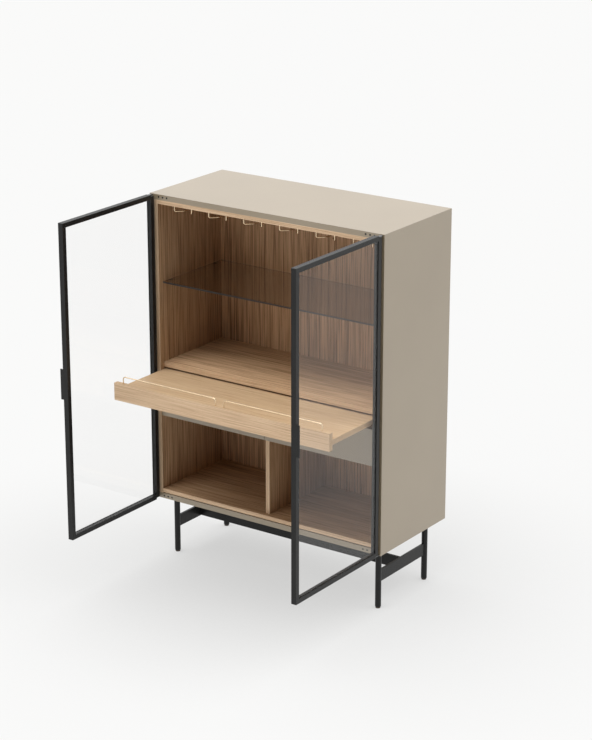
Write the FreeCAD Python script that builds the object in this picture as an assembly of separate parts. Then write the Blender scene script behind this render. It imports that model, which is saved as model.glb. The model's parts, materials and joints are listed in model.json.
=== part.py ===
import FreeCAD, Part
import math
import os

# Bar cabinet with two glazed doors, a pull-out tray, two drawers and a steel base.
# Millimetres, +Z up, front towards -Y. The origin is on the floor, in the middle of the space
# that the cabinet takes up with its doors standing open and its tray pulled out.

# Overall sizes of the cabinet body
cabinet_width = 1000.0
cabinet_height = 1396.0
carcass_depth = 431.0
leg_height = 232.0

# Boards of the shell and of its oak lining
shell_board = 20.0
lining_board = 15.0
back_inset = 22.0
reveal_height = 3.5
reveal_depth = 8.0

# Fixed boards inside, stacked from the floor of the lower bay upwards
inner_setback = 20.0
lower_bay_height = 292.5
thin_board = 16.0
drawer_bay_height = 102.5
shelf_board = 19.0
tray_headroom = 7.0
divider_board = 16.0

# Glass shelf and its pins
glass_shelf_rise = 300.0
glass_shelf_thickness = 6.0
glass_shelf_gap = 2.0
shelf_pin_radius = 3.0
shelf_pin_reach = 10.0
shelf_pin_seat = 8.0
shelf_pin_flat = 1.0
shelf_pin_margin = 45.0

# Brass wires that hold stemmed glasses, with their posts evenly spaced between the linings
rack_count = 6
rack_side_margin = 41.5
rack_channel = 23.0
rack_depth = 150.0
rack_drop = 32.0
rack_setback = 44.0
rack_wire_radius = 2.25
rack_bend_radius = 6.0
rack_flare_radius = 20.0
rack_seat = 8.0

# Pull-out tray
front_board = 19.0
front_gap = 2.0
tray_rear_clearance = 24.0
tray_hold_back = 60.0
rail_rod_radius = 2.0
rail_rise = 26.0
rail_corner_radius = 10.0
rail_seat = 10.0
rail_end_margin = 35.0
rail_middle_gap = 35.0

# Runners, alike under the tray and the drawers
runner_height = 19.0
runner_rear_clearance = 12.0
runner_width = 26.0
runner_sheet = 2.0
runner_wall_height = 15.0
runner_side_play = 1.0
runner_lift = 0.3
runner_margin = 7.0
runner_setback = 22.0
tray_runner_inset = 60.0

# Drawers
drawer_front_overlap = 3.0
drawer_front_clearance = 2.5
drawer_side_margin = 12.0
drawer_box_board = 12.0
drawer_bottom_board = 8.0
drawer_rear_clearance = 25.0
drawer_box_height = 77.0

# Glazed doors
door_gap = 3.0
meeting_gap = 2.0
door_thickness = 20.0
frame_face = 17.0
glass_thickness = 4.0
glass_seat = 3.5
glass_setback = 3.0
pull_length = 112.0
pull_reach = 12.0
pull_sheet = 4.0
pull_flange = 12.0
pull_flange_sheet = 1.5

# Pivot hinges at the top and bottom of each door
door_open_angle = 90.0
pivot_inset = 9.5
pivot_setback = 15.5
hinge_notch = 6.0
hinge_pin_radius = 2.0
hinge_pin_length = 14.0
bush_wall = 1.0
bush_length = 14.0
bush_flange = 0.8
bush_flange_radius = 4.2
bush_end_play = 0.2
bush_seat_depth = 16.0
hinge_plate_length = 82.0
hinge_plate_height = 15.0
hinge_plate_sheet = 2.0
hinge_plate_margin = 3.0
hinge_lug_sheet = 3.0
hinge_lug_width = 10.0
hinge_screw_count = 3
hinge_screw_pitch = 18.0
hinge_screw_margin = 9.0
screw_head_radius = 3.5
screw_shank_radius = 1.75
screw_length = 18.0
screw_recess_length = 4.0
screw_recess_width = 1.0
screw_recess_depth = 1.2

# Steel base
leg_radius = 11.0
leg_inset_x = 49.5
leg_inset_front = 64.0
leg_inset_back = 59.0
bar_height = 45.0
bar_thickness = 8.0
bar_clearance = 99.0
beam_setback = 210.0
glide_radius = 9.0
glide_height = 6.0

# Clearances of round pieces in their holes
seat_clearance = 0.05
running_clearance = 0.05

# Planes and levels that follow from the sizes above
half_width = cabinet_width / 2
door_width = half_width - meeting_gap / 2
pivot_x = half_width - pivot_inset
pivot_drop = door_gap + pivot_setback
open_end = pivot_drop + door_width - pivot_inset
front_y = (open_end - carcass_depth) / 2
rear_y = front_y + carcass_depth

shell_bottom = leg_height
shell_top = cabinet_height
inside_shell_x = half_width - shell_board
inside_shell_bottom = shell_bottom + shell_board
inside_shell_top = shell_top - shell_board
back_board_y = rear_y - back_inset - shell_board

inner_x = inside_shell_x - lining_board
inner_floor = inside_shell_bottom + reveal_height + lining_board
inner_ceiling = inside_shell_top - lining_board
inner_back_y = back_board_y - lining_board
inner_front_y = front_y + inner_setback
inner_depth = inner_back_y - front_y

drawer_floor_bottom = inner_floor + lower_bay_height
drawer_floor_top = drawer_floor_bottom + thin_board
tray_panel_bottom = drawer_floor_top + drawer_bay_height
tray_panel_top = tray_panel_bottom + thin_board
deck_bottom = tray_panel_top + runner_height
deck_top = deck_bottom + shelf_board
fixed_shelf_bottom = deck_top + tray_headroom
fixed_shelf_top = fixed_shelf_bottom + shelf_board
glass_shelf_bottom = fixed_shelf_top + glass_shelf_rise
glass_shelf_top = glass_shelf_bottom + glass_shelf_thickness

drawer_box_depth = inner_depth - front_board - drawer_rear_clearance
runner_length = inner_depth - runner_setback - runner_rear_clearance
tray_deck_depth = inner_depth - front_board - tray_rear_clearance
tray_travel = tray_deck_depth - tray_hold_back
tray_x = inner_x - front_gap
tray_y = front_y - tray_travel

rack_mouth = 2 * (inner_x - rack_side_margin) / (2 * rack_count - 1)
rack_pitch = 2 * rack_mouth
rack_level = inner_ceiling - rack_drop
rack_post_y = front_y + rack_setback

leg_x = half_width - leg_inset_x
leg_front_y = front_y + leg_inset_front
leg_back_y = rear_y - leg_inset_back
bar_top = bar_clearance + bar_height

Vector = FreeCAD.Vector
UP = Vector(0, 0, 1)
BACK = Vector(0, 1, 0)


def box(x0, x1, y0, y1, z0, z1):
    """A block between two corners."""
    return Part.makeBox(x1 - x0, y1 - y0, z1 - z0, Vector(x0, y0, z0))


def prism(points, along):
    """A flat outline pushed along a vector."""
    return Part.Face(Part.makePolygon(points + [points[0]])).extrude(along)


def mirrored(shape):
    """The same piece on the other side of the cabinet."""
    return shape.mirror(Vector(0, 0, 0), Vector(1, 0, 0))


def arc(start, middle, end):
    """An edge that is part of a circle."""
    return Part.Arc(start, middle, end).toShape()


def line(start, end):
    """A straight edge."""
    return Part.makeLine(start, end)


def rod(edges, radius, start, direction):
    """A round rod that follows a smooth path from its start."""
    path = Part.Wire(edges)
    section = Part.Wire([Part.makeCircle(radius, start, direction)])
    return path.makePipeShell([section], True, False)


def save(name, solids):
    """Write one node, which may hold several separate solids."""
    shape = solids[0] if len(solids) == 1 else Part.makeCompound(solids)
    shape.exportStep("parts/" + name + ".step")


def shell_panels():
    """Lacquered boards with mitred corners that seat the hinges, and the inset back board."""
    outer = [(-half_width, shell_bottom), (half_width, shell_bottom),
             (half_width, shell_top), (-half_width, shell_top)]
    inner = [(-inside_shell_x, inside_shell_bottom), (inside_shell_x, inside_shell_bottom),
             (inside_shell_x, inside_shell_top), (-inside_shell_x, inside_shell_top)]
    panels = {}
    for index, name in enumerate(["bottom_panel", "right_side_panel", "top_panel", "left_side_panel"]):
        follow = (index + 1) % len(outer)
        corners = [outer[index], outer[follow], inner[follow], inner[index]]
        points = [Vector(x, front_y, z) for x, z in corners]
        panels[name] = prism(points, BACK * carcass_depth)
    hinge_seats = Part.makeCompound(four_corners([hinge_plate()] + hinge_screw_holes()))
    panels = {name: panel.cut(hinge_seats) for name, panel in panels.items()}
    panels["back_panel"] = box(-inside_shell_x, inside_shell_x, back_board_y, back_board_y + shell_board,
                               inside_shell_bottom, inside_shell_top)
    return panels


def lining_panels():
    """Oak boards that line the shell, with a shadow groove under the front of the bottom board."""
    side = box(-inside_shell_x, -inner_x, front_y, back_board_y, inside_shell_bottom, inside_shell_top)
    side = side.cut(Part.makeCompound(shelf_pin_holes()))
    top = box(-inner_x, inner_x, front_y, back_board_y, inner_ceiling, inside_shell_top)
    bottom = box(-inner_x, inner_x, front_y, back_board_y, inside_shell_bottom, inner_floor)
    groove = box(-inner_x, inner_x, front_y, front_y + reveal_depth,
                 inside_shell_bottom, inside_shell_bottom + reveal_height)
    back = box(-inner_x, inner_x, inner_back_y, back_board_y, inner_floor, inner_ceiling)
    return {
        "left_lining": side,
        "right_lining": mirrored(side),
        "top_lining": top.cut(Part.makeCompound(rack_holes())),
        "bottom_lining": bottom.cut(groove),
        "back_lining": back,
    }


def inner_boards():
    """Fixed shelf, the two thin boards round the drawers, and the upright in the lower bay."""
    def board(x, z0, z1):
        return box(-x, x, inner_front_y, inner_back_y, z0, z1)
    return {
        "fixed_shelf": board(inner_x, fixed_shelf_bottom, fixed_shelf_top),
        "tray_support_panel": board(inner_x, tray_panel_bottom, tray_panel_top),
        "drawer_bay_floor": board(inner_x, drawer_floor_bottom, drawer_floor_top),
        "lower_divider": board(divider_board / 2, inner_floor, drawer_floor_bottom),
    }


def shelf_pin_places():
    """Depth and height of the pins under one end of the glass shelf."""
    level = glass_shelf_bottom - shelf_pin_radius + shelf_pin_flat
    return [(y, level) for y in (inner_front_y + shelf_pin_margin, inner_back_y - shelf_pin_margin)]


def shelf_pin_holes():
    """Holes in the left lining for the shelf pins."""
    return [Part.makeCylinder(shelf_pin_radius + seat_clearance, shelf_pin_seat,
                              Vector(-inner_x - shelf_pin_seat, y, z), Vector(1, 0, 0))
            for y, z in shelf_pin_places()]


def shelf_pins():
    """Round pins with a flat on top, on which the glass shelf lies."""
    pins = []
    for y, z in shelf_pin_places():
        start = Vector(-inner_x - shelf_pin_seat, y, z)
        pin = Part.makeCylinder(shelf_pin_radius, shelf_pin_seat + shelf_pin_reach, start, Vector(1, 0, 0))
        above = box(-inner_x, -inner_x + shelf_pin_reach, y - shelf_pin_radius, y + shelf_pin_radius,
                    glass_shelf_bottom, glass_shelf_top)
        pins.append(pin.cut(above))
    return pins + [mirrored(pin) for pin in pins]


def glass_shelf():
    """Smoked glass plate that lies on the four pins."""
    x = inner_x - glass_shelf_gap
    return box(-x, x, inner_front_y, inner_back_y - glass_shelf_gap, glass_shelf_bottom, glass_shelf_top)


def rack_centres():
    """Middle of each glass rack along the width."""
    return [(index - (rack_count - 1) / 2) * rack_pitch for index in range(rack_count)]


def rack_holes():
    """Holes in the top lining for the posts of the racks."""
    return [Part.makeCylinder(rack_wire_radius + seat_clearance, rack_seat,
                              Vector(centre + side * rack_mouth / 2, rack_post_y, inner_ceiling), UP)
            for centre in rack_centres() for side in (-1, 1)]


def glass_rack(centre):
    """One brass wire: a post, a flared mouth, a narrow channel with a round end, and back again."""
    bend = rack_bend_radius
    diagonal = math.sqrt(0.5)
    post_x = rack_mouth / 2
    rail_x = rack_channel / 2
    flare_y = rack_post_y + post_x - rail_x
    end_y = rack_post_y + rack_depth - rail_x
    turn = math.pi / 4
    tangent = rack_flare_radius * math.tan(turn / 2)

    def half(side):
        def at(x, y, z):
            return Vector(centre + side * x, y, z)

        def inward(distance, z):
            return at(post_x - distance * diagonal, rack_post_y + distance * diagonal, z)

        top = at(post_x, rack_post_y, inner_ceiling + rack_seat)
        low = at(post_x, rack_post_y, rack_level + bend)
        bend_mid = inward(bend * (1 - diagonal), rack_level + bend * (1 - diagonal))
        bend_end = inward(bend, rack_level)
        flare_start = at(rail_x + tangent * diagonal, flare_y - tangent * diagonal, rack_level)
        flare_mid = at(rail_x + rack_flare_radius * (1 - math.cos(turn / 2)),
                       flare_y + tangent - rack_flare_radius * math.sin(turn / 2), rack_level)
        flare_end = at(rail_x, flare_y + tangent, rack_level)
        rail_end = at(rail_x, end_y, rack_level)
        return [top, low, bend_mid, bend_end, flare_start, flare_mid, flare_end, rail_end]

    def run(p):
        return [line(p[0], p[1]), arc(p[1], p[2], p[3]), line(p[3], p[4]), arc(p[4], p[5], p[6]),
                line(p[6], p[7])]

    left = half(-1)
    right = half(1)
    tip = Vector(centre, end_y + rail_x, rack_level)
    edges = run(left) + [arc(left[-1], tip, right[-1])] + run(right)[::-1]
    return rod(edges, rack_wire_radius, left[0], UP)


def gallery_posts():
    """Places of the two posts of the left gallery rail along the width."""
    return -tray_x + rail_end_margin, -rail_middle_gap / 2


def gallery_rail():
    """Left brass rail on the fascia: two posts joined by a rod with rounded corners."""
    y = tray_y + front_board / 2
    foot = fixed_shelf_top - rail_seat
    level = fixed_shelf_top + rail_rise
    turn = rail_corner_radius
    inset = turn * (1 - math.sqrt(0.5))
    x0, x1 = gallery_posts()
    edges = [
        line(Vector(x0, y, foot), Vector(x0, y, level - turn)),
        arc(Vector(x0, y, level - turn), Vector(x0 + inset, y, level - inset), Vector(x0 + turn, y, level)),
        line(Vector(x0 + turn, y, level), Vector(x1 - turn, y, level)),
        arc(Vector(x1 - turn, y, level), Vector(x1 - inset, y, level - inset), Vector(x1, y, level - turn)),
        line(Vector(x1, y, level - turn), Vector(x1, y, foot)),
    ]
    return rod(edges, rail_rod_radius, Vector(x0, y, foot), UP)


def tray_parts():
    """Deck and fascia of the pull-out tray, with holes for the gallery rails, pulled out."""
    deck = box(-tray_x, tray_x, tray_y + front_board, tray_y + front_board + tray_deck_depth,
               deck_bottom, deck_top)
    fascia = box(-tray_x, tray_x, tray_y, tray_y + front_board, tray_panel_top, fixed_shelf_top)
    holes = [Part.makeCylinder(rail_rod_radius + seat_clearance, rail_seat,
                               Vector(x, tray_y + front_board / 2, fixed_shelf_top - rail_seat), UP)
             for x in gallery_posts()]
    holes += [mirrored(hole) for hole in holes]
    rail = gallery_rail()
    return {
        "tray_deck": deck,
        "tray_fascia": fascia.cut(Part.makeCompound(holes)),
        "left_gallery_rail": rail,
        "right_gallery_rail": mirrored(rail),
    }


def fixed_runner(x, floor):
    """Channel, open at the top, screwed down on a board."""
    y0 = front_y + runner_setback
    half = runner_width / 2
    channel = box(x - half, x + half, y0, y0 + runner_length, floor, floor + runner_wall_height)
    hollow = box(x - half + runner_sheet, x + half - runner_sheet, y0, y0 + runner_length,
                 floor + runner_sheet, floor + runner_wall_height)
    return channel.cut(hollow)


def sliding_runner(x, floor, travel):
    """Upturned channel that runs inside a fixed one and carries a board on its back."""
    y0 = front_y + runner_setback - travel
    half = runner_width / 2 - runner_sheet - runner_side_play
    low = floor + runner_sheet + runner_lift
    high = floor + runner_height
    channel = box(x - half, x + half, y0, y0 + runner_length, low, high)
    hollow = box(x - half + runner_sheet, x + half - runner_sheet, y0, y0 + runner_length,
                 low, high - runner_sheet)
    return channel.cut(hollow)


def tray_runner_places():
    """Runners of the tray along the width."""
    x = inner_x - tray_runner_inset - runner_width / 2
    return [-x, x]


def drawer_span(side):
    """Left and right end of a drawer front."""
    near = meeting_gap / 2
    return (-tray_x, -near) if side < 0 else (near, tray_x)


def drawer_runner_places(side):
    """Runners of one drawer along the width."""
    x0, x1 = drawer_span(side)
    inset = drawer_side_margin + runner_margin + runner_width / 2
    return [x0 + inset, x1 - inset]


def drawer_parts(side):
    """Front and box of one drawer, pushed in."""
    x0, x1 = drawer_span(side)
    b0 = x0 + drawer_side_margin
    b1 = x1 - drawer_side_margin
    y0 = front_y + front_board
    y1 = y0 + drawer_box_depth
    low = drawer_floor_top + runner_height
    floor = low + drawer_bottom_board
    rim = low + drawer_box_height
    return {
        "front": box(x0, x1, front_y, y0, drawer_floor_bottom - drawer_front_overlap,
                     tray_panel_top - drawer_front_clearance),
        "bottom": box(b0, b1, y0, y1, low, floor),
        "left_side": box(b0, b0 + drawer_box_board, y0, y1, floor, rim),
        "right_side": box(b1 - drawer_box_board, b1, y0, y1, floor, rim),
        "back": box(b0 + drawer_box_board, b1 - drawer_box_board, y1 - drawer_box_board, y1, floor, rim),
    }


def hinge_pin_span():
    """Lower and upper end of the top hinge pin, which hangs from its lug."""
    lug_bottom = shell_top - hinge_notch + bush_flange + bush_end_play
    return lug_bottom - hinge_pin_length, lug_bottom


def on_pivot(radius, z0, z1):
    """A cylinder on the axis of the left door."""
    return Part.makeCylinder(radius, z1 - z0, Vector(-pivot_x, front_y - pivot_drop, z0), UP)


def upended(shape):
    """The same piece at the bottom hinge, mirrored about mid height."""
    middle = (shell_top + shell_bottom) / 2
    return shape.mirror(Vector(0, 0, middle), UP)


def hinge_screw_places():
    """Screws of the top left hinge plate: distances along the plate."""
    first = -half_width + hinge_plate_margin + hinge_plate_length - hinge_screw_margin
    return [first - index * hinge_screw_pitch for index in range(hinge_screw_count)]


def hinge_screw_level():
    """Height of the screws in the top hinge plate, the middle of the plate."""
    return hinge_plate_top() - hinge_plate_height / 2


def hinge_plate_top():
    """Upper edge of the top hinge plate, level with its lug."""
    return hinge_pin_span()[1] + hinge_lug_sheet


def screw_shape(x, clearance):
    """Countersunk screw through the hinge plate, widened by a clearance where it is a hole."""
    level = hinge_screw_level()
    depth = screw_head_radius - screw_shank_radius
    head = Part.makeCone(screw_head_radius + clearance, screw_shank_radius + clearance, depth,
                         Vector(x, front_y, level), BACK)
    shank = Part.makeCylinder(screw_shank_radius + clearance, screw_length - depth,
                              Vector(x, front_y + depth, level), BACK)
    return head.fuse(shank).removeSplitter()


def hinge_screw(x):
    """Screw of the top left hinge plate with a cross recess in its head."""
    level = hinge_screw_level()
    long = screw_recess_length / 2
    narrow = screw_recess_width / 2
    arms = [box(x - wide, x + wide, front_y, front_y + screw_recess_depth, level - tall, level + tall)
            for wide, tall in ((long, narrow), (narrow, long))]
    return screw_shape(x, 0).cut(arms)


def hinge_screw_holes():
    """Holes for the three screws of the top left hinge plate."""
    return [screw_shape(x, seat_clearance) for x in hinge_screw_places()]


def hinge_plate():
    """Plate of the top left hinge, let in flush with the front edge."""
    x0 = -half_width + hinge_plate_margin
    top = hinge_plate_top()
    return box(x0, x0 + hinge_plate_length, front_y, front_y + hinge_plate_sheet,
               top - hinge_plate_height, top)


def hinge_bracket():
    """Top left bracket: a plate in the front edge, a lug over the stile and the pin under the lug."""
    low, lug_bottom = hinge_pin_span()
    lug_top = hinge_plate_top()
    half = hinge_lug_width / 2
    arm = box(-pivot_x - half, -pivot_x + half, front_y - pivot_drop, front_y + hinge_plate_sheet,
              lug_bottom, lug_top)
    bracket = hinge_plate().fuse([arm, on_pivot(half, lug_bottom, lug_top),
                                  on_pivot(hinge_pin_radius, low, lug_bottom)]).removeSplitter()
    return bracket.cut(Part.makeCompound(hinge_screw_holes()))


def four_corners(shapes):
    """Copies of top left pieces at the four hinge corners."""
    left = shapes + [upended(shape) for shape in shapes]
    return left + [mirrored(shape) for shape in left]


def left_door():
    """Left door in its closed place, as separate bars, pane, pull and bushes."""
    x0 = -half_width
    x1 = x0 + door_width
    y1 = front_y - door_gap
    y0 = y1 - door_thickness
    low = shell_bottom
    high = shell_top
    pane_y = y0 + glass_setback
    edge = frame_face - glass_seat
    pane = box(x0 + edge, x1 - edge, pane_y, pane_y + glass_thickness, low + edge, high - edge)
    stile_high = high - hinge_notch
    hinge_stile = box(x0, x0 + frame_face, y0, y1, low + hinge_notch, stile_high)
    bush_radius = hinge_pin_radius + running_clearance + bush_wall
    seat = on_pivot(bush_radius + seat_clearance, stile_high - bush_seat_depth, stile_high)
    bush = on_pivot(bush_radius, stile_high - bush_length, stile_high).fuse(
        on_pivot(bush_flange_radius, stile_high, stile_high + bush_flange)).removeSplitter()
    bore = on_pivot(hinge_pin_radius + running_clearance, stile_high - bush_length, stile_high + bush_flange)
    bush = bush.cut(bore)
    middle = (low + high) / 2
    pull_low = middle - pull_length / 2
    pull_high = middle + pull_length / 2
    flange = box(x1 - pull_flange, x1, y0 - pull_flange_sheet, y0, pull_low, pull_high)
    tab = box(x1 - pull_sheet, x1, y0 - pull_reach, y0, pull_low, pull_high)
    inner = x0 + frame_face
    outer = x1 - frame_face
    return {
        "hinge_stile": [hinge_stile.cut(Part.makeCompound([pane, seat, upended(seat)]))],
        "free_stile": [box(outer, x1, y0, y1, low, high).cut(pane)],
        "top_rail": [box(inner, outer, y0, y1, high - frame_face, high).cut(pane)],
        "bottom_rail": [box(inner, outer, y0, y1, low, low + frame_face).cut(pane)],
        "glass": [pane],
        "pull": [flange.fuse(tab).removeSplitter()],
        "bushes": [bush, upended(bush)],
    }


def swung_open(shape):
    """The left door's piece turned about its pivot to the open place."""
    turned = shape.copy()
    turned.rotate(Vector(-pivot_x, front_y - pivot_drop, 0), UP, -door_open_angle)
    return turned


def end_frame():
    """Left end of the base: two round legs welded to a flat stretcher."""
    legs = [Part.makeCylinder(leg_radius, leg_height - glide_height, Vector(-leg_x, y, glide_height), UP)
            for y in (leg_front_y, leg_back_y)]
    half = bar_thickness / 2
    stretcher = box(-leg_x - half, -leg_x + half, leg_front_y, leg_back_y, bar_clearance, bar_top)
    return stretcher.fuse(legs).removeSplitter()


def centre_beam():
    """Long flat bar between the two stretchers, a little in front of their middle."""
    x = leg_x - bar_thickness / 2
    y = front_y + beam_setback
    half = bar_thickness / 2
    return box(-x, x, y - half, y + half, bar_clearance, bar_top)


def glides():
    """Round pads under the four legs."""
    return [Part.makeCylinder(glide_radius, glide_height, Vector(x, y, 0), UP)
            for x in (-leg_x, leg_x) for y in (leg_front_y, leg_back_y)]


def main():
    os.makedirs("parts", exist_ok=True)
    for pieces in (shell_panels(), lining_panels(), inner_boards(), tray_parts()):
        for name, solid in pieces.items():
            save(name, [solid])

    save("glass_shelf", [glass_shelf()])
    save("shelf_pins", shelf_pins())
    for index, centre in enumerate(rack_centres()):
        save("glass_rack_" + str(index + 1), [glass_rack(centre)])

    runners = [fixed_runner(x, tray_panel_top) for x in tray_runner_places()]
    save("tray_slides", [sliding_runner(x, tray_panel_top, tray_travel) for x in tray_runner_places()])
    for side, word in ((-1, "left"), (1, "right")):
        places = drawer_runner_places(side)
        runners += [fixed_runner(x, drawer_floor_top) for x in places]
        save(word + "_drawer_slides", [sliding_runner(x, drawer_floor_top, 0) for x in places])
        for name, solid in drawer_parts(side).items():
            save(word + "_drawer_" + name, [solid])
    save("fixed_runners", runners)

    for name, solids in left_door().items():
        opened = [swung_open(solid) for solid in solids]
        save("left_door_" + name, opened)
        save("right_door_" + name, [mirrored(solid) for solid in opened])
    save("hinge_brackets", four_corners([hinge_bracket()]))
    save("hinge_screws", four_corners([hinge_screw(x) for x in hinge_screw_places()]))

    frame = end_frame()
    save("left_end_frame", [frame])
    save("right_end_frame", [mirrored(frame)])
    save("centre_beam", [centre_beam()])
    save("glides", glides())


main()
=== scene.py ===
import json
import math

import bmesh
import bpy
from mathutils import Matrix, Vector

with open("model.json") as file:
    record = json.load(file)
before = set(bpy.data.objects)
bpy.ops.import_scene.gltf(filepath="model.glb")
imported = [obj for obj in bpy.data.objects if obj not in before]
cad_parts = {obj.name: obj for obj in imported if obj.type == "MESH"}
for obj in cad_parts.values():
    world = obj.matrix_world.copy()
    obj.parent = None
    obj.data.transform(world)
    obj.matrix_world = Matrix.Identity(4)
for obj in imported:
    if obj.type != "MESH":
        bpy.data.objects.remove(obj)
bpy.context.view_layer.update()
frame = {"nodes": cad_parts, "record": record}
nodes = frame["nodes"]


# Helpers for node trees

# Sockets of a Mix node that mixes colours
mix_factor = 0
mix_first = 6
mix_second = 7
mix_result = 2

# Most of a noise lies between these two values
noise_low = 0.3
noise_high = 0.7

# Textures are shifted by a share of this from piece to piece, in metres, so that no two pieces look alike
texture_shift = (3.7, 5.3, 4.1)

# Cosines between a surface and its rounded form, where an edge begins and where it is fully reached
edge_begins = 0.995
edge_reached = 0.85


def shader(name, constants=None):
    """A new material, its node tree and its Principled shader, with what is the same all over."""
    material = bpy.data.materials.new(name)
    material.use_nodes = True
    bsdf = material.node_tree.nodes["Principled BSDF"]
    for key, value in (constants or {}).items():
        bsdf.inputs[key].default_value = value
    return material, material.node_tree, bsdf


def add(tree, kind, values=None, **settings):
    """A node with its settings and its unlinked input values."""
    made = tree.nodes.new(kind)
    for key, value in settings.items():
        setattr(made, key, value)
    for key, value in (values or {}).items():
        made.inputs[key].default_value = value
    return made


def math_node(tree, operation, first, second=0.0):
    """What a Math node makes of two inputs, each a socket or a number."""
    made = add(tree, "ShaderNodeMath", operation=operation)
    for index, value in enumerate((first, second)):
        if isinstance(value, (int, float)):
            made.inputs[index].default_value = value
        else:
            tree.links.new(value, made.inputs[index])
    return made.outputs[0]


def weighted(tree, shares):
    """The sum of several values, each times its share."""
    total = 0.0
    for value, share in shares:
        total = math_node(tree, "ADD", math_node(tree, "MULTIPLY", value, share), total)
    return total


def noise(tree, vector, scale, detail=2, roughness=0.5):
    """Noise between about 0 and 1, with about so many features to the metre."""
    made = add(tree, "ShaderNodeTexNoise", {"Scale": scale, "Detail": detail, "Roughness": roughness})
    tree.links.new(vector, made.inputs["Vector"])
    return made.outputs["Fac"]


def spread(tree, value, low, high, to_low=0.0, to_high=1.0):
    """A value carried over from one span to another, clamped at both ends."""
    spans = {"From Min": low, "From Max": high, "To Min": to_low, "To Max": to_high}
    made = add(tree, "ShaderNodeMapRange", spans)
    tree.links.new(value, made.inputs["Value"])
    return made.outputs["Result"]


def ramp(tree, value, steps, tones):
    """A colour read off a row of two tones or more, each at its step."""
    made = add(tree, "ShaderNodeValToRGB")
    elements = made.color_ramp.elements
    first, *middle, last = zip(steps, tones)
    for element, (step, tone) in zip(elements, (first, last)):
        element.position = step
        element.color = (*tone, 1)
    for step, tone in middle:
        elements.new(step).color = (*tone, 1)
    tree.links.new(value, made.inputs["Fac"])
    return made.outputs["Color"]


def toned(tree, value, dark, light):
    """A colour between two tones, by noise."""
    return ramp(tree, value, (noise_low, noise_high), (dark, light))


def mix(tree, factor, first, second, blend="MIX"):
    """A colour mixed as far as a factor says with a second one, which is a socket or a plain colour."""
    made = add(tree, "ShaderNodeMix", data_type="RGBA", blend_type=blend)
    tree.links.new(factor, made.inputs[mix_factor])
    tree.links.new(first, made.inputs[mix_first])
    if isinstance(second, tuple):
        made.inputs[mix_second].default_value = (*second, 1)
    else:
        tree.links.new(second, made.inputs[mix_second])
    return made.outputs[mix_result]


def roughen(tree, bsdf, value, low, high):
    """Roughness from the first limit to the second, by noise."""
    tree.links.new(spread(tree, value, noise_low, noise_high, low, high), bsdf.inputs["Roughness"])


def bump(tree, bsdf, height, strength, distance):
    """Relief on a shader."""
    made = add(tree, "ShaderNodeBump", {"Strength": strength, "Distance": distance})
    tree.links.new(height, made.inputs["Height"])
    tree.links.new(made.outputs["Normal"], bsdf.inputs["Normal"])


def place(tree, stretch=(1, 1, 1)):
    """Coordinates on the piece in metres, shifted from piece to piece and stretched."""
    shift = add(tree, "ShaderNodeVectorMath", operation="MULTIPLY_ADD")
    tree.links.new(add(tree, "ShaderNodeObjectInfo").outputs["Random"], shift.inputs[0])
    shift.inputs[1].default_value = texture_shift
    tree.links.new(add(tree, "ShaderNodeTexCoord").outputs["Object"], shift.inputs[2])
    made = add(tree, "ShaderNodeMapping", {"Scale": stretch})
    tree.links.new(shift.outputs[0], made.inputs["Vector"])
    return made.outputs["Vector"]


def coordinate(tree, kind, axis):
    """One axis of the coordinates on a piece: Object is a place in metres, and Normal a direction."""
    parts = add(tree, "ShaderNodeSeparateXYZ")
    tree.links.new(add(tree, "ShaderNodeTexCoord").outputs[kind], parts.inputs[0])
    return parts.outputs[axis]


def edge_mask(tree, radius):
    """1 along the edges of a piece, 0 on its faces."""
    rounded = add(tree, "ShaderNodeBevel", {"Radius": radius}, samples=4).outputs["Normal"]
    plain = add(tree, "ShaderNodeNewGeometry").outputs["Normal"]
    made = add(tree, "ShaderNodeVectorMath", operation="DOT_PRODUCT")
    tree.links.new(rounded, made.inputs[0])
    tree.links.new(plain, made.inputs[1])
    return spread(tree, made.outputs["Value"], edge_begins, edge_reached)


def worn(tree, colour, radius, amount, paler):
    """A colour that turns paler along the edges of a piece."""
    return mix(tree, math_node(tree, "MULTIPLY", edge_mask(tree, radius), amount), colour, paler)


# Oak

# How many bands, streaks, lines and pores there are to the metre across the grain
oak_bands = 9
oak_streaks = 320
oak_lines = 420
oak_pores = 900

# How many times as many there are along the grain, of bands and pores and of streaks and lines
band_stretch = 0.05
streak_stretch = 0.012

# How much of the tone comes from each
band_share = 0.10
streak_share = 0.55
line_share = 0.35

# Where the dark, the middle and the light tone lie on their sum
oak_steps = (0.40, 0.50, 0.59)

# How far the pores tint the tone, and how high the lines stand where a pore is 1 deep
pore_tint = (0.55, 0.45, 0.36)
pore_strength = 0.45
line_height = 0.5

# The first row is the oak's own tones. The rows after it are darker copies of it, and the inner ones have
# stronger grain contrast. Their darkness is painted shade: on the tray deck and the fascia's top, on the
# boards inside the cabinet and on the back, and darkest on the bottom board of the lower bay under the tray
light_oak = ((0.508, 0.336, 0.200), (0.635, 0.440, 0.272), (0.707, 0.512, 0.331))
deck_oak_painted_shade = ((0.334, 0.212, 0.117), (0.451, 0.306, 0.174), (0.514, 0.366, 0.223))
inner_oak_painted_shade = ((0.212, 0.117, 0.057), (0.461, 0.292, 0.164), (0.594, 0.403, 0.244))
shelf_oak_painted_shade = ((0.230, 0.127, 0.062), (0.500, 0.316, 0.178), (0.644, 0.437, 0.265))
low_oak_painted_shade = ((0.184, 0.102, 0.050), (0.400, 0.253, 0.142), (0.515, 0.350, 0.212))
back_oak_painted_shade = ((0.259, 0.137, 0.067), (0.581, 0.357, 0.196), (0.756, 0.497, 0.294))


def painted_shade_faces(tree):
    """0 on faces that look to the front, 1 on all others, which take the darker tones of painted shade."""
    return spread(tree, coordinate(tree, "Normal", "Y"), low=-0.7, high=-0.4)


def stretched(grain, stretch):
    """The scale of a texture that is drawn out along one axis."""
    return [stretch if axis == grain else 1.0 for axis in "xyz"]


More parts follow.
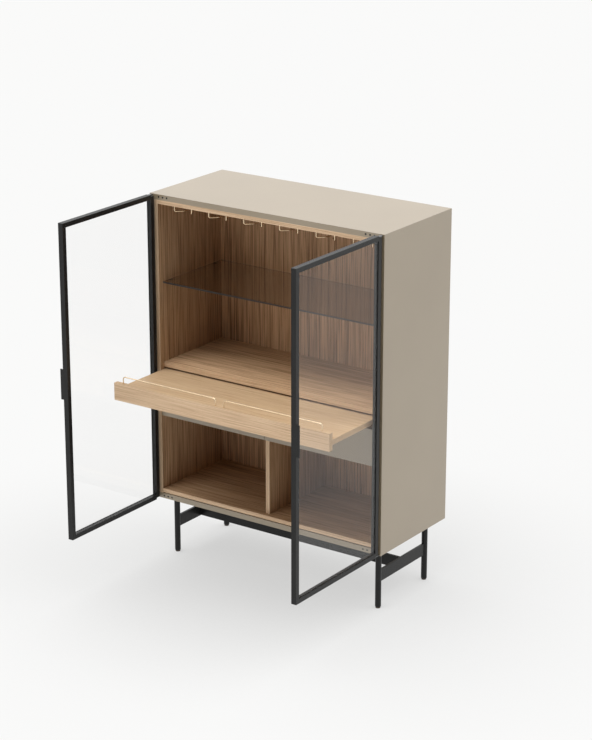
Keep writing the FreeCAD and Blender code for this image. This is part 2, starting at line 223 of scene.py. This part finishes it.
def oak(name, grain, tones, front_tones=None):
    """Oak with straight grain along one axis. Tones darker than the oak's own are painted shade, and where
    front tones are given, the faces that look to the front take them instead.
    """
    material, tree, bsdf = shader(name)
    along_bands = place(tree, stretched(grain, band_stretch))
    along_streaks = place(tree, stretched(grain, streak_stretch))
    bands = noise(tree, along_bands, oak_bands)
    streaks = noise(tree, along_streaks, oak_streaks, roughness=0.6)
    lines = noise(tree, along_streaks, oak_lines, roughness=0.6)
    pores = spread(tree, noise(tree, along_bands, oak_pores), low=0.60, high=0.72)
    figure = weighted(tree, [(bands, band_share), (streaks, streak_share), (lines, line_share)])
    colour = ramp(tree, figure, oak_steps, tones)
    # Faces that don't look to the front keep the darker tones, which are painted shade, and front faces take
    # the front tones
    if front_tones:
        colour = mix(tree, painted_shade_faces(tree), ramp(tree, figure, oak_steps, front_tones), colour)
    pore_marks = math_node(tree, "MULTIPLY", pores, pore_strength)
    colour = mix(tree, pore_marks, colour, pore_tint, blend="MULTIPLY")
    colour = worn(tree, colour, radius=0.0015, amount=0.25, paler=(0.72, 0.55, 0.38))
    tree.links.new(colour, bsdf.inputs["Base Color"])
    roughen(tree, bsdf, streaks, low=0.62, high=0.48)
    height = math_node(tree, "SUBTRACT", math_node(tree, "MULTIPLY", lines, line_height), pores)
    bump(tree, bsdf, height, strength=0.25, distance=0.0003)
    return material


# Lacquer, metal, glass and plastic

hinge_black = (0.012, 0.012, 0.0118)
ground_roughness = 0.7


def taupe(name, black_ahead_of=None):
    """Satin lacquer, sprayed on, with black on what stands ahead of a plane where one is given."""
    constants = {"Specular IOR Level": 0.75, "Coat Weight": 1.0, "Coat Roughness": 0.28}
    material, tree, bsdf = shader(name, constants)
    clouds = noise(tree, place(tree), scale=4, detail=3)
    peel = noise(tree, place(tree), scale=620)
    colour = toned(tree, clouds, dark=(0.264, 0.205, 0.129), light=(0.282, 0.221, 0.140))
    colour = worn(tree, colour, radius=0.0012, amount=0.30, paler=(0.38, 0.33, 0.26))
    if black_ahead_of is not None:
        ahead = math_node(tree, "LESS_THAN", coordinate(tree, "Object", "Y"), black_ahead_of)
        colour = mix(tree, ahead, colour, hinge_black)
    tree.links.new(colour, bsdf.inputs["Base Color"])
    roughen(tree, bsdf, peel, low=0.36, high=0.44)
    bump(tree, bsdf, peel, strength=0.03, distance=0.0002)
    return material


def black_metal(name):
    """Fine black powder coat."""
    material, tree, bsdf = shader(name, {"Specular IOR Level": 0.25})
    grains = noise(tree, place(tree), scale=2400)
    clouds = noise(tree, place(tree), scale=25, detail=3)
    colour = toned(tree, clouds, dark=(0.0100, 0.0100, 0.0098), light=(0.0135, 0.0135, 0.0132))
    colour = worn(tree, colour, radius=0.0010, amount=0.35, paler=(0.050, 0.050, 0.048))
    tree.links.new(colour, bsdf.inputs["Base Color"])
    roughen(tree, bsdf, grains, low=0.24, high=0.34)
    bump(tree, bsdf, grains, strength=0.12, distance=0.00015)
    return material


def metal(name, dark, light, smooth, dull):
    """Bare metal with fine scratches, a slight change of tone and roughness between two limits."""
    material, tree, bsdf = shader(name, {"Metallic": 1.0})
    clouds = noise(tree, place(tree), scale=40, detail=3)
    scratches = noise(tree, place(tree, stretch=(1.0, 0.15, 1.0)), scale=1800)
    tree.links.new(toned(tree, clouds, dark, light), bsdf.inputs["Base Color"])
    roughen(tree, bsdf, scratches, smooth, dull)
    bump(tree, bsdf, scratches, strength=0.08, distance=0.0001)
    return material


def glass(name, axis, tint, film, ground, index, gloss, passed):
    """Sheet glass with polished faces across one axis, a faint film and ground edges.

    Light on its way to a surface goes straight through, and takes on the colour passed.
    """
    constants = {"Transmission Weight": 1.0, "IOR": index, "Specular IOR Level": gloss}
    material, tree, bsdf = shader(name, constants)
    clouds = noise(tree, place(tree), scale=6, detail=4)
    across = math_node(tree, "ABSOLUTE", coordinate(tree, "Normal", axis))
    edges = spread(tree, across, low=0.4, high=0.6, to_low=1.0, to_high=0.0)
    colour = mix(tree, edges, toned(tree, clouds, tint, film), ground)
    tree.links.new(colour, bsdf.inputs["Base Color"])
    tree.links.new(math_node(tree, "MULTIPLY", edges, ground_roughness), bsdf.inputs["Roughness"])
    path = add(tree, "ShaderNodeLightPath").outputs
    lighting = math_node(tree, "MAXIMUM", path["Is Shadow Ray"], path["Is Diffuse Ray"])
    straight = add(tree, "ShaderNodeBsdfTransparent", {"Color": (*passed, 1)})
    both = add(tree, "ShaderNodeMixShader")
    tree.links.new(lighting, both.inputs[0])
    tree.links.new(bsdf.outputs[0], both.inputs[1])
    tree.links.new(straight.outputs[0], both.inputs[2])
    tree.links.new(both.outputs[0], tree.nodes["Material Output"].inputs["Surface"])
    return material


def nylon(name):
    """Dark moulded plastic."""
    material, tree, bsdf = shader(name)
    grains = noise(tree, place(tree), scale=1500)
    colour = toned(tree, grains, dark=(0.050, 0.036, 0.026), light=(0.070, 0.050, 0.036))
    tree.links.new(colour, bsdf.inputs["Base Color"])
    roughen(tree, bsdf, grains, low=0.45, high=0.60)
    bump(tree, bsdf, grains, strength=0.10, distance=0.0002)
    return material


# Which piece has which material

# The hinge plates have the shell's paint as far as its front, and are black a little ahead of it
shell_front = min(corner[1] for corner in nodes["top_panel"].bound_box)
paint_margin = 0.0005

slot_finishes = {
    "taupe_lacquer": taupe("taupe_lacquer"),
    "hinge_metal": taupe("hinge_paint", black_ahead_of=shell_front - paint_margin),
    "black_metal": black_metal("black_metal"),
    "brass": metal("brass", (0.68, 0.53, 0.35), (0.82, 0.66, 0.46), smooth=0.18, dull=0.30),
    "steel": metal("steel", (0.50, 0.50, 0.49), (0.62, 0.62, 0.61), smooth=0.24, dull=0.40),
    "clear_glass": glass("clear_glass", "X", tint=(0.996, 0.997, 0.9965), film=(1.0, 1.0, 1.0),
                         ground=(0.50, 0.55, 0.53), index=1.25, gloss=0.3, passed=(0.95, 0.95, 0.95)),
    "smoked_glass": glass("smoked_glass", "Z", tint=(0.50, 0.47, 0.43), film=(0.56, 0.53, 0.49),
                          ground=(0.03, 0.024, 0.018), index=1.5, gloss=0.12, passed=(0.62, 0.59, 0.55)),
    "nylon": nylon("nylon"),
}

# The oak for the tray, the back and the boards inside the cabinet has darker tones, which are painted shade.
# Where front tones are given, its front faces keep the oak's own lighter tones. The plain level oak and the
# oak of the drawer sides have the oak's own tones
inner_upright = oak("inner_oak_upright", "z", inner_oak_painted_shade, light_oak)
back_upright = oak("back_oak_upright", "z", back_oak_painted_shade)
inner_level = oak("inner_oak_level", "x", shelf_oak_painted_shade, light_oak)
low_level = oak("low_oak_level", "x", low_oak_painted_shade, light_oak)
shelf_level = oak("shelf_oak_level", "x", shelf_oak_painted_shade)
tray_level = oak("tray_oak_level", "x", deck_oak_painted_shade, light_oak)
oak_level = oak("oak_level", "x", light_oak)
oak_deep = oak("oak_deep", "y", light_oak)

# Oak boards that aren't named here are oak_level, in the oak's own tones. The boards named here inside the
# cabinet and on the tray carry painted shade in their tones; the drawer sides don't
board_finishes = {
    "left_lining": inner_upright,
    "right_lining": inner_upright,
    "lower_divider": inner_upright,
    "back_lining": back_upright,
    "top_lining": inner_level,
    "fixed_shelf": inner_level,
    "bottom_lining": low_level,
    "tray_support_panel": shelf_level,
    "drawer_bay_floor": shelf_level,
    "tray_deck": tray_level,
    "tray_fascia": tray_level,
    "left_drawer_left_side": oak_deep,
    "left_drawer_right_side": oak_deep,
    "right_drawer_left_side": oak_deep,
    "right_drawer_right_side": oak_deep,
}

# How far the edges of the boards and bars are eased, in metres
eased_widths = {"taupe_lacquer": 0.0008, "oak_veneer": 0.0006, "black_metal": 0.0006}
sharp_angle = math.radians(35)


def ease(piece, width):
    """Takes the sharpness off a piece's edges."""
    made = piece.modifiers.new("eased_edges", "BEVEL")
    made.width = width
    made.segments = 2
    made.limit_method = "ANGLE"
    made.angle_limit = sharp_angle
    made.harden_normals = True


for part in frame["record"]["subparts"]:
    name = part["node"]
    slot = part["material_slot"]
    piece = nodes[name]
    piece.data.materials.clear()
    piece.data.materials.append(slot_finishes.get(slot) or board_finishes.get(name, oak_level))
    if slot in eased_widths:
        ease(piece, eased_widths[slot])


# Floor, light and camera

floor_half_width = 60.0
floor_colour = (0.09, 0.09, 0.089)
floor_glow_colour = (1.0, 1.0, 0.995)

# How much the floor glows to the eye where none and where all of the room is in sight, and to surfaces. The
# lower glow near the object is a painted shadow
floor_low_glow = 0.49
floor_high_glow = 0.797
floor_bounce = 0.745

# How near another surface has to be to take away from the room in sight, in metres
room_reach = 1.1

backdrop_white = 0.94

# Soft lights: degrees to the right of the front, degrees above the floor, narrowness and strength
soft_lights = [
    (-30, 15, 12, 0.95),
    (-30, 65, 12, 5.9),
    (0, 90, 12, 3.7),
    (130, 35, 5, 2.55),
]

camera_place = (4.51641, -6.21132, 3.40796)
camera_tilt = math.radians(71.47)
camera_turn = math.radians(35.01)
camera_lens = 111.855
camera_sensor = 36.0


def seen_as_background(tree):
    """1 for rays from the camera, also by way of gloss and glass, and 0 for light on its way to a surface."""
    path = add(tree, "ShaderNodeLightPath").outputs
    seen = math_node(tree, "ADD", path["Is Camera Ray"], path["Is Glossy Ray"])
    seen = math_node(tree, "MINIMUM", math_node(tree, "ADD", seen, path["Is Transmission Ray"]), 1.0)
    no_bounce_yet = math_node(tree, "LESS_THAN", path["Diffuse Depth"], 0.5)
    return math_node(tree, "MULTIPLY", seen, no_bounce_yet)


def floor_material():
    """Pale floor with the object's shadow: a real shadow from the soft lights on its dim colour, and a
    painted shadow in its glow to the eye, deepest where least of the room is in sight.
    """
    constants = {"Base Color": (*floor_colour, 1), "Roughness": 0.9, "Specular IOR Level": 0.0}
    material, tree, bsdf = shader("pale_floor", constants)
    seen = seen_as_background(tree)
    # Ambient occlusion lowers the floor's glow to the eye near the object, which makes a painted shadow
    room = add(tree, "ShaderNodeAmbientOcclusion", {"Distance": room_reach}, samples=16).outputs["AO"]
    glow = spread(tree, room, 0.0, 1.0, floor_low_glow, floor_high_glow)
    shown = math_node(tree, "MULTIPLY", seen, glow)
    given = math_node(tree, "MULTIPLY", math_node(tree, "SUBTRACT", 1.0, seen), floor_bounce)
    light = add(tree, "ShaderNodeEmission", {"Color": (*floor_glow_colour, 1)})
    tree.links.new(math_node(tree, "ADD", shown, given), light.inputs["Strength"])
    both = add(tree, "ShaderNodeAddShader")
    tree.links.new(bsdf.outputs[0], both.inputs[0])
    tree.links.new(light.outputs[0], both.inputs[1])
    tree.links.new(both.outputs[0], tree.nodes["Material Output"].inputs["Surface"])
    return material


def make_floor():
    """The flat floor that the object stands on."""
    mesh = bpy.data.meshes.new("floor")
    sheet = bmesh.new()
    bmesh.ops.create_grid(sheet, x_segments=8, y_segments=8, size=floor_half_width)
    sheet.to_mesh(mesh)
    sheet.free()
    floor = bpy.data.objects.new("floor", mesh)
    bpy.context.scene.collection.objects.link(floor)
    floor.data.materials.append(floor_material())


def direction_to(azimuth, elevation):
    """The direction so many degrees to the right of the front and so many above the floor."""
    turn = math.radians(azimuth)
    rise = math.radians(elevation)
    return Vector((math.cos(rise) * math.sin(turn), -math.cos(rise) * math.cos(turn), math.sin(rise)))


def make_world():
    """Soft lights on the surfaces, and a white backdrop for the camera, for gloss and for glass."""
    world = bpy.data.worlds.new("studio")
    world.use_nodes = True
    tree = world.node_tree
    direction = add(tree, "ShaderNodeTexCoord").outputs["Generated"]
    lobes = []
    for azimuth, elevation, narrowness, strength in soft_lights:
        facing = add(tree, "ShaderNodeVectorMath", operation="DOT_PRODUCT")
        tree.links.new(direction, facing.inputs[0])
        facing.inputs[1].default_value = direction_to(azimuth, elevation)
        ahead = math_node(tree, "MAXIMUM", facing.outputs["Value"], 0.0)
        lobes.append((math_node(tree, "POWER", ahead, narrowness), strength))
    backdrop = math_node(tree, "MULTIPLY", seen_as_background(tree), backdrop_white)
    background = tree.nodes["Background"]
    background.inputs["Color"].default_value = (1.0, 1.0, 1.0, 1)
    tree.links.new(math_node(tree, "MAXIMUM", backdrop, weighted(tree, lobes)), background.inputs["Strength"])
    bpy.context.scene.world = world


def make_camera():
    """The camera, where the photograph was taken from."""
    camera = bpy.data.cameras.new("camera")
    camera.sensor_width = camera_sensor
    camera.lens = camera_lens
    viewer = bpy.data.objects.new("camera", camera)
    viewer.location = camera_place
    viewer.rotation_euler = (camera_tilt, 0.0, camera_turn)
    bpy.context.scene.collection.objects.link(viewer)
    bpy.context.scene.camera = viewer


make_floor()
make_world()
make_camera()
bpy.context.scene.view_settings.view_transform = "Standard"
